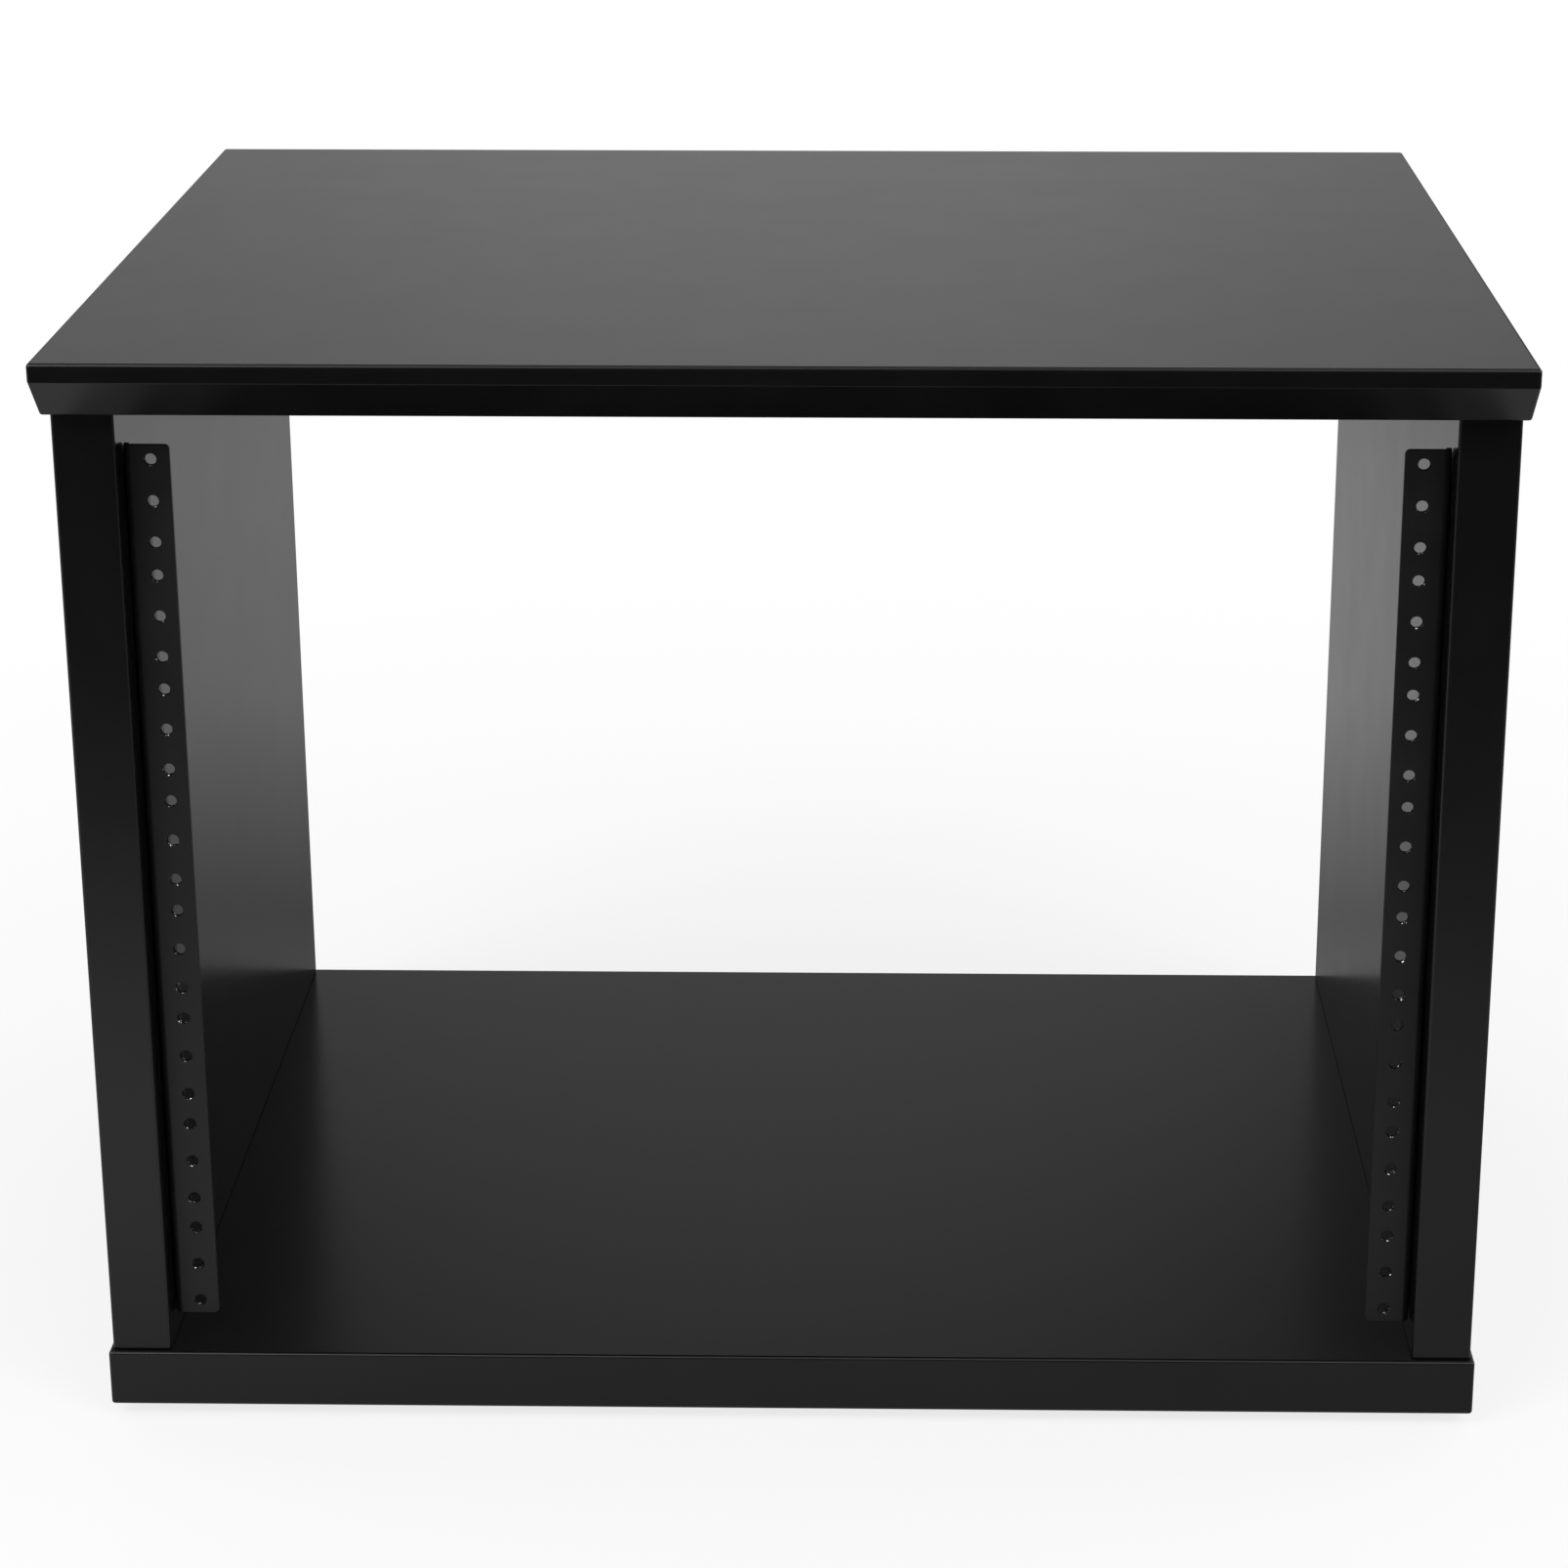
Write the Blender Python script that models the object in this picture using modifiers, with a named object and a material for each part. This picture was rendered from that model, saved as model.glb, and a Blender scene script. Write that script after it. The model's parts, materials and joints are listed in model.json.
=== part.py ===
"""Desktop studio rack for eight rack units, open at the front and the back.

Two side panels stand between a base and an overhanging top, and each side panel carries a folded
steel rack rail with the standard pattern of tapped holes. Metres, +Z up, the front faces -Y, and
the origin is on the floor under the middle of the top.
"""

import math

import bmesh
import bpy
from mathutils import Matrix, Vector

# The rack standard: unit height, hole pattern, and the width of a rack panel. The rows of holes come
# out 465.1 mm apart, and the rails' flanges leave 450.8 mm clear between them.
RACK_UNITS = 8
UNIT_HEIGHT = 0.04445
HOLE_FROM_UNIT_EDGE = 0.00635
RACK_PANEL_WIDTH = 0.4826
HOLE_FROM_PANEL_END = 0.00875
FLANGE_PAST_HOLE = 0.00715
PANEL_SIDE_ROOM = 0.0017

# The boards
BOARD = 0.023
TOP_DEPTH = 0.406
TOP_OVERHANG = 0.0255
TOP_CHAMFER = 0.016
FRONT_REVEAL = 0.0025
BACK_REVEAL = 0.0025
SIDE_REVEAL = 0.0015
EDGE_RADIUS = 0.0014
ROOM_BELOW_RACK = 0.010
ROOM_ABOVE_RACK = 0.0154

# The rack rails, folded from sheet steel
RAIL_RECESS = 0.0105
RAIL_SHEET = 0.002
RAIL_BEND_INSIDE = 0.001
RAIL_LEG_DEPTH = 0.035
RAIL_END_TRIM = 0.0008
RAIL_HOLE_DIAMETER = 0.0048
FLANGE_CORNER_RADIUS = 0.002
LEG_CUT_HEIGHT = 0.024
LEG_CUT_BEHIND_BEND = 0.0005
RAIL_SCREWS = 4
RAIL_SCREW_END = 0.032
RAIL_SCREW_EDGE = 0.014

# Pan head screws: those that hold the rails, and those that hold the feet
RAIL_SCREW_SHANK = 0.004
RAIL_SCREW_LENGTH = 0.016
RAIL_SCREW_HEAD = 0.008
RAIL_SCREW_HEAD_HEIGHT = 0.0024
FOOT_SCREW_SHANK = 0.0035
FOOT_SCREW_LENGTH = 0.013
FOOT_SCREW_HEAD = 0.0068
FOOT_SCREW_HEAD_HEIGHT = 0.0019
SCREW_POINT = 0.004
SCREW_RIM = 0.0009
DRIVE_SPAN = 0.0042
DRIVE_WIDTH = 0.001
DRIVE_DEPTH = 0.0014

# Cam fittings between the side panels and the top
CAM_DIAMETER = 0.015
CAM_BEHIND_BOLT = 0.004
CAM_BOLT_REACH = 0.024
CAM_BOLT_THREAD = 0.006
CAM_BOLT_THREAD_LENGTH = 0.011
CAM_BOLT_COLLAR = 0.0072
CAM_BOLT_COLLAR_HEIGHT = 0.002
CAM_BOLT_SHANK = 0.006
CAM_BOLT_NECK = 0.004
CAM_BOLT_HEAD = 0.0064
CAM_BOLT_HEAD_HEIGHT = 0.003
CAM_RIM = 0.0006
CAM_DRIVE_SPAN = 0.007
CAM_DRIVE_WIDTH = 0.002
CAM_DRIVE_DEPTH = 0.0028
CAM_FROM_END = 0.126

# Dowels in both joints, and one-piece connecting screws from below the base
DOWEL_DIAMETER = 0.008
DOWEL_LENGTH = 0.030
DOWEL_IN_FLAT_BOARD = 0.010
DOWEL_CHAMFER = 0.0008
TOP_DOWEL_FROM_END = 0.040
BASE_DOWEL_FROM_END = 0.110
BASE_SCREW_FROM_END = 0.045
BASE_SCREW_HEAD = 0.0098
BASE_SCREW_SHOULDER = 0.007
BASE_SCREW_THREAD = 0.0062
BASE_SCREW_LENGTH = 0.050
BASE_SCREW_SOCKET = 0.0046
BASE_SCREW_SOCKET_DEPTH = 0.003

# Rubber feet
FOOT_HEIGHT = 0.005
FOOT_DIAMETER = 0.022
FOOT_TAPER = 0.0015
FOOT_RECESS_DEPTH = 0.003
FOOT_INSET = 0.035

# Room between pieces that touch, round what sits in a hole, and how far a cutter runs past a face
FACE_GAP = 0.0003
HOLE_ROOM = 0.0003
CUT_PAST = 0.004

# How round things are
EDGE_STEPS = 2
BEND_STEPS = 5
CORNER_STEPS = 4
HEAD_STEPS = 2
RACK_HOLE_SIDES = 16
SMALL_HOLE_SIDES = 12
TURNED_STEPS = 16
HIDDEN_STEPS = 12
EDGE_ANGLE = math.radians(30)
SMOOTH_ANGLE = math.radians(35)
SAME_PLACE = 1e-5

# Widths, from the middle outwards
hole_out = RACK_PANEL_WIDTH / 2 - HOLE_FROM_PANEL_END
flange_end = hole_out - FLANGE_PAST_HOLE
inner_half = RACK_PANEL_WIDTH / 2 + PANEL_SIDE_ROOM
outer_half = inner_half + BOARD
slab_half = outer_half + SIDE_REVEAL
board_middle = inner_half + BOARD / 2

# Depths, from the front to the back
top_front = -TOP_DEPTH / 2
top_back = TOP_DEPTH / 2
side_front = top_front + TOP_OVERHANG
side_back = top_back - BACK_REVEAL
side_depth = side_back - side_front
side_middle = (side_front + side_back) / 2
base_front = side_front - FRONT_REVEAL
rail_front = side_front + RAIL_RECESS

# Heights, from the floor upwards
base_bottom = FOOT_HEIGHT + FACE_GAP
base_top = base_bottom + BOARD
rack_bottom = base_top + ROOM_BELOW_RACK
rack_height = RACK_UNITS * UNIT_HEIGHT
rack_top = rack_bottom + rack_height
top_bottom = rack_top + ROOM_ABOVE_RACK
side_bottom = base_top + FACE_GAP
side_top = top_bottom - FACE_GAP
cam_height = top_bottom - CAM_BOLT_REACH

# The rail's leg lies against the side panel, with its screws in a row near its back edge
rail_bottom = rack_bottom + RAIL_END_TRIM
rail_top = rack_top - RAIL_END_TRIM
leg_outside = inner_half - FACE_GAP
leg_inside = leg_outside - RAIL_SHEET
bend_outside = RAIL_BEND_INSIDE + RAIL_SHEET
leg_back = rail_front + RAIL_LEG_DEPTH
rail_screw_y = leg_back - RAIL_SCREW_EDGE

SIDES = {"left": -1, "right": 1}
ENDS = {"front": -1, "rear": 1}


def new_collection(name):
    collection = bpy.data.collections.new(name)
    bpy.context.scene.collection.children.link(collection)
    return collection


def new_material(name, colour, roughness, metallic=0.0):
    material = bpy.data.materials.new(name)
    material.use_nodes = True
    shader = material.node_tree.nodes["Principled BSDF"]
    shader.inputs["Base Color"].default_value = (*colour, 1.0)
    shader.inputs["Roughness"].default_value = roughness
    shader.inputs["Metallic"].default_value = metallic
    return material


for old in list(bpy.data.objects):
    bpy.data.objects.remove(old)

parts = new_collection("studio_rack")
cutters = new_collection("cutters")

black_laminate = new_material("black_laminate", (0.012, 0.012, 0.013), 0.35)
black_steel = new_material("black_powder_coat", (0.014, 0.014, 0.015), 0.4)
screw_steel = new_material("screw_steel", (0.03, 0.03, 0.032), 0.35, 1.0)
zinc = new_material("zinc", (0.55, 0.56, 0.57), 0.35, 1.0)
beech = new_material("beech", (0.55, 0.36, 0.2), 0.6)
rubber = new_material("rubber", (0.02, 0.02, 0.02), 0.75)

rack = bpy.data.objects.new("rack_origin", None)
parts.objects.link(rack)


def mesh_of(name, bm):
    """Turns a bmesh into a mesh with its faces pointing out."""
    bmesh.ops.recalc_face_normals(bm, faces=bm.faces)
    mesh = bpy.data.meshes.new(name)
    bm.to_mesh(mesh)
    bm.free()
    return mesh


def add_part(name, mesh, material, location, rotation=(0, 0, 0)):
    if not mesh.materials:
        mesh.materials.append(material)
    part = bpy.data.objects.new(name, mesh)
    parts.objects.link(part)
    part.parent = rack
    part.location = location
    part.rotation_euler = rotation
    return part


def add_cutter(name, mesh):
    cutter = bpy.data.objects.new(name, mesh)
    cutters.objects.link(cutter)
    cutter.hide_render = True
    cutter.display_type = "WIRE"
    return cutter


def cut(part, cutter):
    boolean = part.modifiers.new("cut " + cutter.name, "BOOLEAN")
    boolean.operation = "DIFFERENCE"
    boolean.solver = "EXACT"
    boolean.object = cutter


def drills(name, diameter, start, length, direction, places, sides=SMALL_HOLE_SIDES, mouth=None):
    """A cutter of one drill per place, from start along direction, which a mouth widens at 45 degrees."""
    along = Vector(direction)
    turn = along.to_track_quat("Z", "Y").to_matrix().to_4x4()
    widening = 0 if mouth is None else (mouth - diameter) / 2
    bm = bmesh.new()
    for place in places:
        middle = Vector(place) + along * (start + (widening + length) / 2)
        drill = bmesh.ops.create_cone(
            bm,
            cap_ends=True,
            segments=sides,
            radius1=diameter / 2,
            radius2=diameter / 2,
            depth=length - widening,
            matrix=Matrix.Translation(middle) @ turn,
        )
        if mouth is None:
            continue
        caps = {face for vert in drill["verts"] for face in vert.link_faces}
        first = min(caps, key=lambda face: along.dot(face.calc_center_median()))
        wide = bmesh.ops.extrude_discrete_faces(bm, faces=[first])["faces"][0]
        about = Matrix.Translation(-wide.calc_center_median())
        bmesh.ops.scale(bm, vec=[mouth / diameter] * 3, space=about, verts=wide.verts)
        bmesh.ops.translate(bm, vec=along * -widening, verts=wide.verts)
    return add_cutter(name, mesh_of(name, bm))


def holes(name, diameter, depth, direction, places, sides=SMALL_HOLE_SIDES):
    """Straight holes of one depth from a face, with the room that what sits in them needs."""
    bore = diameter + 2 * HOLE_ROOM
    return drills(name, bore, -CUT_PAST, CUT_PAST + depth + HOLE_ROOM, direction, places, sides)


def box_cutter(name, low, high):
    low, high = Vector(low), Vector(high)
    bm = bmesh.new()
    bmesh.ops.create_cube(bm, size=1.0)
    bmesh.ops.scale(bm, vec=high - low, verts=bm.verts)
    bmesh.ops.translate(bm, vec=(low + high) / 2, verts=bm.verts)
    return add_cutter(name, mesh_of(name, bm))


def bake(part):
    """Applies a part's modifiers, so that its copies can share one finished mesh."""
    graph = bpy.context.evaluated_depsgraph_get()
    mesh = bpy.data.meshes.new_from_object(part.evaluated_get(graph))
    part.modifiers.clear()
    part.data = mesh
    mesh.shade_smooth()
    mesh.set_sharp_from_angle(angle=SMOOTH_ANGLE)
    return mesh


def turned(name, profile, material, steps=TURNED_STEPS, closed=False):
    """A turned part round its own Z axis, from (radius, height) points down its outer side."""
    bm = bmesh.new()
    points = [bm.verts.new((radius, 0, height)) for radius, height in profile]
    for first, second in zip(points, points[1:]):
        bm.edges.new((first, second))
    if closed:
        bm.edges.new((points[-1], points[0]))
    mesh = bpy.data.meshes.new(name)
    bm.to_mesh(mesh)
    bm.free()
    part = add_part(name, mesh, material, (0, 0, 0))
    screw = part.modifiers.new("turn", "SCREW")
    screw.axis = "Z"
    screw.steps = steps
    screw.render_steps = steps
    screw.use_merge_vertices = True
    screw.merge_threshold = SAME_PLACE
    return part


def place_copies(pattern, places):
    """Puts the pattern part at the first place, and a copy that shares its mesh at each other one."""
    mesh = bake(pattern)
    material = mesh.materials[0]
    bpy.data.objects.remove(pattern)
    for name, (location, rotation) in places.items():
        add_part(name, mesh, material, location, rotation)


def board(name, size, location):
    """A plain board, before its edges are eased and anything is drilled in it."""
    bm = bmesh.new()
    bmesh.ops.create_cube(bm, size=1.0)
    bmesh.ops.scale(bm, vec=size, verts=bm.verts)
    return add_part(name, mesh_of(name, bm), black_laminate, location)


def ease_edges(part):
    bevel = part.modifiers.new("eased edges", "BEVEL")
    bevel.width = EDGE_RADIUS
    bevel.segments = EDGE_STEPS
    bevel.limit_method = "ANGLE"
    bevel.angle_limit = EDGE_ANGLE


def ease_uprights(part):
    """Eases only a board's four upright edges: its ends are cut square, to butt against other boards."""
    bm = bmesh.new()
    bm.from_mesh(part.data)
    uprights = [e for e in bm.edges if abs(e.verts[0].co.z - e.verts[1].co.z) > SAME_PLACE]
    bmesh.ops.bevel(
        bm, geom=uprights, offset=EDGE_RADIUS, segments=EDGE_STEPS, affect="EDGES", profile=0.5
    )
    bm.to_mesh(part.data)
    bm.free()


def facing(sign):
    """The turn about Z that makes what faces +X on the left side face -X on the right one."""
    return 0.0 if sign < 0 else math.pi


def from_ends(distance):
    """Where the same distance from the side panel's front and back ends comes along Y."""
    return {end: side_middle + sign * (side_depth / 2 - distance) for end, sign in ENDS.items()}


top_dowel_y = from_ends(TOP_DOWEL_FROM_END)
cam_y = from_ends(CAM_FROM_END)
base_dowel_y = from_ends(BASE_DOWEL_FROM_END)
base_screw_y = {**from_ends(BASE_SCREW_FROM_END), "middle": side_middle}


def joint_places(along, height):
    """Points on the middle line of both side panels' edges."""
    return [(sign * board_middle, y, height) for sign in SIDES.values() for y in along.values()]


def make_top():
    """The top: a slab that overhangs at the front, where its lower edge is cut back at 45 degrees."""
    size = (2 * slab_half, TOP_DEPTH, BOARD)
    top = board("top_panel", size, (0, 0, top_bottom + BOARD / 2))
    bm = bmesh.new()
    bm.from_mesh(top.data)
    front_lower = [e for e in bm.edges if all(v.co.y < 0 and v.co.z < 0 for v in e.verts)]
    bmesh.ops.bevel(bm, geom=front_lower, offset=TOP_CHAMFER, segments=1, affect="EDGES")
    bm.to_mesh(top.data)
    bm.free()
    ease_edges(top)
    places = joint_places(top_dowel_y, top_bottom)
    cut(top, holes("top_dowel_holes", DOWEL_DIAMETER, DOWEL_IN_FLAT_BOARD, (0, 0, 1), places))
    places = joint_places(cam_y, top_bottom)
    cut(top, holes("cam_bolt_holes", CAM_BOLT_THREAD, CAM_BOLT_THREAD_LENGTH, (0, 0, 1), places))


def make_base():
    """The base: a slab a little proud of the side panels, with screws from below and four feet."""
    depth = top_back - base_front
    location = (0, (base_front + top_back) / 2, base_bottom + BOARD / 2)
    base = board("base_panel", (2 * slab_half, depth, BOARD), location)
    ease_edges(base)
    places = joint_places(base_dowel_y, base_top)
    cut(base, holes("base_dowel_holes", DOWEL_DIAMETER, DOWEL_IN_FLAT_BOARD, (0, 0, -1), places))
    places = joint_places(base_screw_y, base_bottom)
    bore = BASE_SCREW_SHOULDER + 2 * HOLE_ROOM
    mouth = BASE_SCREW_HEAD + 2 * (HOLE_ROOM + FACE_GAP + CUT_PAST)
    length = BOARD + 2 * CUT_PAST
    cut(base, drills("base_screw_holes", bore, -CUT_PAST, length, (0, 0, 1), places, mouth=mouth))
    depth = FOOT_SCREW_LENGTH - FOOT_HEIGHT + FOOT_RECESS_DEPTH
    places = [(x, y, base_bottom) for x, y in foot_places().values()]
    cut(base, holes("foot_screw_holes", FOOT_SCREW_SHANK, depth, (0, 0, 1), places))


def make_side_panel(side, sign):
    """A side panel, drilled on its inside for the rail and the cams, and in both ends for the joints."""
    height = side_top - side_bottom
    location = (sign * board_middle, side_middle, (side_bottom + side_top) / 2)
    panel = board(side + "_side_panel", (BOARD, side_depth, height), location)
    ease_uprights(panel)
    outwards = (sign, 0, 0)
    inner = sign * inner_half

    places = [(inner, rail_screw_y, z) for z in rail_screw_heights()]
    depth = RAIL_SCREW_LENGTH - RAIL_SHEET
    cut(panel, holes(side + "_rail_screw_pilots", RAIL_SCREW_SHANK, depth, outwards, places))

    places = [(inner, y, cam_height) for y in cam_y.values()]
    depth = BOARD / 2 + CAM_BEHIND_BOLT
    cut(panel, holes(side + "_cam_bores", CAM_DIAMETER, depth, outwards, places, RACK_HOLE_SIDES))
    places = [(sign * board_middle, y, side_top) for y in cam_y.values()]
    cut(panel, holes(side + "_cam_bolt_bores", CAM_BOLT_COLLAR, CAM_BOLT_REACH, (0, 0, -1), places))

    depth = DOWEL_LENGTH - DOWEL_IN_FLAT_BOARD
    places = [(sign * board_middle, y, side_top) for y in top_dowel_y.values()]
    cut(panel, holes(side + "_top_dowel_bores", DOWEL_DIAMETER, depth, (0, 0, -1), places))
    places = [(sign * board_middle, y, side_bottom) for y in base_dowel_y.values()]
    cut(panel, holes(side + "_base_dowel_bores", DOWEL_DIAMETER, depth, (0, 0, 1), places))

    depth = BASE_SCREW_LENGTH - BOARD
    places = [(sign * board_middle, y, side_bottom) for y in base_screw_y.values()]
    cut(panel, holes(side + "_base_screw_bores", BASE_SCREW_THREAD, depth, (0, 0, 1), places))


def rail_screw_heights():
    """Heights of the screws through a rail's leg, evenly spaced between its ends."""
    lowest = rail_bottom + RAIL_SCREW_END
    step = (rail_top - RAIL_SCREW_END - lowest) / (RAIL_SCREWS - 1)
    return [lowest + i * step for i in range(RAIL_SCREWS)]


def rack_hole_heights():
    """Heights of the rack holes: in each unit one at half height, and one near either edge."""
    in_unit = [HOLE_FROM_UNIT_EDGE, UNIT_HEIGHT / 2, UNIT_HEIGHT - HOLE_FROM_UNIT_EDGE]
    return [rack_bottom + unit * UNIT_HEIGHT + z for unit in range(RACK_UNITS) for z in in_unit]


def pull_edge(bm, edges, distance):
    """Carries a sheet on backwards from one of its edges, and gives its new edge."""
    sheet = bmesh.ops.extrude_edge_only(bm, edges=edges)["geom"]
    corners = [v for v in sheet if isinstance(v, bmesh.types.BMVert)]
    bmesh.ops.translate(bm, vec=(0, distance, 0), verts=corners)
    return [e for e in bm.edges if all(v in corners for v in e.verts)]


def make_rail(side, sign):
    """A rack rail: a drilled flange across the front, folded back into a leg along the side panel.

    The leg's upper and lower corners are cut at a slant, from just behind the bend to its back edge.
    """
    name = side + "_rack_rail"
    height = rail_top - rail_bottom
    fold = sign * leg_outside
    free = sign * flange_end
    bm = bmesh.new()
    bmesh.ops.create_grid(bm, x_segments=1, y_segments=1, size=0.5)
    bmesh.ops.rotate(bm, cent=(0, 0, 0), matrix=Matrix.Rotation(math.pi / 2, 3, "X"), verts=bm.verts)
    bmesh.ops.scale(bm, vec=(abs(fold - free), 1, height), verts=bm.verts)
    bmesh.ops.translate(bm, vec=((fold + free) / 2, 0, 0), verts=bm.verts)
    fold_edge = [e for e in bm.edges if all(abs(v.co.x - fold) < SAME_PLACE for v in e.verts)]
    cut_start = bend_outside + LEG_CUT_BEHIND_BEND
    leg_edge = pull_edge(bm, fold_edge, cut_start)
    leg_edge = pull_edge(bm, leg_edge, RAIL_LEG_DEPTH - cut_start)
    back_corners = [v for edge in leg_edge for v in edge.verts]
    bmesh.ops.scale(bm, vec=(1, 1, 1 - 2 * LEG_CUT_HEIGHT / height), verts=back_corners)
    free_corners = [v for v in bm.verts if abs(v.co.x - free) < SAME_PLACE]
    bmesh.ops.bevel(
        bm, geom=free_corners, offset=FLANGE_CORNER_RADIUS, segments=CORNER_STEPS,
        affect="VERTICES", profile=0.5
    )
    fold_edge = [
        e for e in bm.edges
        if all(abs(v.co.x - fold) < SAME_PLACE and abs(v.co.y) < SAME_PLACE for v in e.verts)
    ]
    bmesh.ops.bevel(
        bm, geom=fold_edge, offset=bend_outside, segments=BEND_STEPS, affect="EDGES", profile=0.5
    )

    location = (0, rail_front, (rail_bottom + rail_top) / 2)
    rail = add_part(name, mesh_of(name, bm), black_steel, location)
    flange = max(rail.data.polygons, key=lambda face: -face.center.y * face.area)
    sheet = rail.modifiers.new("sheet", "SOLIDIFY")
    sheet.thickness = RAIL_SHEET
    sheet.offset = -1.0 if flange.normal.y < 0 else 1.0
    sheet.use_even_offset = True
    sheet.use_quality_normals = True

    places = [(sign * hole_out, rail_front, z) for z in rack_hole_heights()]
    cut(rail, drills(side + "_rack_holes", RAIL_HOLE_DIAMETER, -CUT_PAST, 2 * CUT_PAST + RAIL_SHEET,
                     (0, 1, 0), places, RACK_HOLE_SIDES))
    places = [(sign * leg_inside, rail_screw_y, z) for z in rail_screw_heights()]
    cut(rail, holes(side + "_rail_leg_holes", RAIL_SCREW_SHANK, RAIL_SHEET + CUT_PAST,
                    (sign, 0, 0), places))


def cross_recess(part, surface, span, width, depth):
    """Cuts two crossing slots down into a turned part whose flat end is at the height surface."""
    low = surface - depth
    high = surface + CUT_PAST
    for turn, (x, y) in {"a": (span / 2, width / 2), "b": (width / 2, span / 2)}.items():
        cut(part, box_cutter(f"{part.name}_slot_{turn}", (-x, -y, low), (x, y, high)))


def pan_head_screw(name, shank, length, head, head_height):
    """A pan head screw with a cross recess. Its shank goes down from the underside of its head at 0."""
    dome = head_height - SCREW_RIM
    turns = [math.pi / 2 * i / HEAD_STEPS for i in range(HEAD_STEPS + 1)]
    profile = [
        (0, head_height),
        *((head / 2 - dome * (1 - math.sin(a)), SCREW_RIM + dome * math.cos(a)) for a in turns),
        (head / 2, 0),
        (shank / 2, 0),
        (shank / 2, SCREW_POINT - length),
        (0, -length),
    ]
    screw = turned(name, profile, screw_steel)
    cross_recess(screw, head_height, DRIVE_SPAN, DRIVE_WIDTH, DRIVE_DEPTH)
    return screw


def make_rail_screws():
    """Screws through the rails' legs into the side panels, with their heads inwards."""
    screw = pan_head_screw(
        "rail_screw_pattern", RAIL_SCREW_SHANK, RAIL_SCREW_LENGTH, RAIL_SCREW_HEAD, RAIL_SCREW_HEAD_HEIGHT
    )
    under_head = leg_inside - FACE_GAP
    place_copies(screw, {
        f"{side}_rail_screw_{i + 1}": (
            (sign * under_head, rail_screw_y, z), (0, math.pi / 2, facing(sign))
        )
        for side, sign in SIDES.items()
        for i, z in enumerate(rail_screw_heights())
    })


def make_cams():
    """Cam housings in the side panels' inner faces. Each one's pocket takes the head of a cam bolt."""
    radius = CAM_DIAMETER / 2
    depth = BOARD / 2 + CAM_BEHIND_BOLT
    profile = [(0, 0), (radius - CAM_RIM, 0), (radius, -CAM_RIM), (radius, -depth), (0, -depth)]
    cam = turned("cam_pattern", profile, zinc)
    axis = -BOARD / 2
    past = -depth - CUT_PAST
    neck = CAM_BOLT_NECK / 2 + HOLE_ROOM
    head = CAM_BOLT_HEAD / 2 + HOLE_ROOM
    reach = CAM_BOLT_HEAD_HEIGHT / 2 + HOLE_ROOM
    cut(cam, box_cutter("cam_neck_slot", (-radius - CUT_PAST, -neck, past), (0, neck, axis + neck)))
    cut(cam, box_cutter("cam_head_pocket", (-reach, -head, past), (reach, head, axis + head)))
    cross_recess(cam, 0, CAM_DRIVE_SPAN, CAM_DRIVE_WIDTH, CAM_DRIVE_DEPTH)
    place_copies(cam, {
        f"{side}_{end}_cam": ((sign * inner_half, y, cam_height), (0, math.pi / 2, facing(sign)))
        for side, sign in SIDES.items()
        for end, y in cam_y.items()
    })


def make_cam_bolts():
    """Bolts screwed up into the top. Each one's shank comes down the side panel into a cam."""
    thread = CAM_BOLT_THREAD / 2
    collar = CAM_BOLT_COLLAR / 2
    shank = CAM_BOLT_SHANK / 2
    neck = CAM_BOLT_NECK / 2
    head = CAM_BOLT_HEAD / 2
    neck_top = CAM_DIAMETER / 2 + 2 * HOLE_ROOM - CAM_BOLT_REACH
    head_top = CAM_BOLT_HEAD_HEIGHT / 2 - CAM_BOLT_REACH
    head_bottom = head_top - CAM_BOLT_HEAD_HEIGHT
    profile = [
        (0, CAM_BOLT_THREAD_LENGTH),
        (thread, CAM_BOLT_THREAD_LENGTH),
        (thread, -FACE_GAP),
        (collar, -FACE_GAP),
        (collar, -FACE_GAP - CAM_BOLT_COLLAR_HEIGHT),
        (shank, -FACE_GAP - CAM_BOLT_COLLAR_HEIGHT),
        (shank, neck_top),
        (neck, neck_top),
        (neck, head_top),
        (head, head_top),
        (head, head_bottom),
        (0, head_bottom),
    ]
    bolt = turned("cam_bolt_pattern", profile, zinc, HIDDEN_STEPS)
    place_copies(bolt, {
        f"{side}_{end}_cam_bolt": ((sign * board_middle, y, top_bottom), (0, 0, 0))
        for side, sign in SIDES.items()
        for end, y in cam_y.items()
    })


def make_dowels():
    """Wooden dowels across both joints, part in the flat board and part in the side panel's end."""
    radius = DOWEL_DIAMETER / 2
    small = radius - DOWEL_CHAMFER
    half = DOWEL_LENGTH / 2
    profile = [
        (0, half),
        (small, half),
        (radius, half - DOWEL_CHAMFER),
        (radius, DOWEL_CHAMFER - half),
        (small, -half),
        (0, -half),
    ]
    shift = half - DOWEL_IN_FLAT_BOARD
    joints = {"top": (top_dowel_y, top_bottom - shift), "base": (base_dowel_y, base_top + shift)}
    place_copies(turned("dowel_pattern", profile, beech, HIDDEN_STEPS), {
        f"{side}_{end}_{joint}_dowel": ((sign * board_middle, y, height), (0, 0, 0))
        for joint, (along, height) in joints.items()
        for side, sign in SIDES.items()
        for end, y in along.items()
    })


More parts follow.
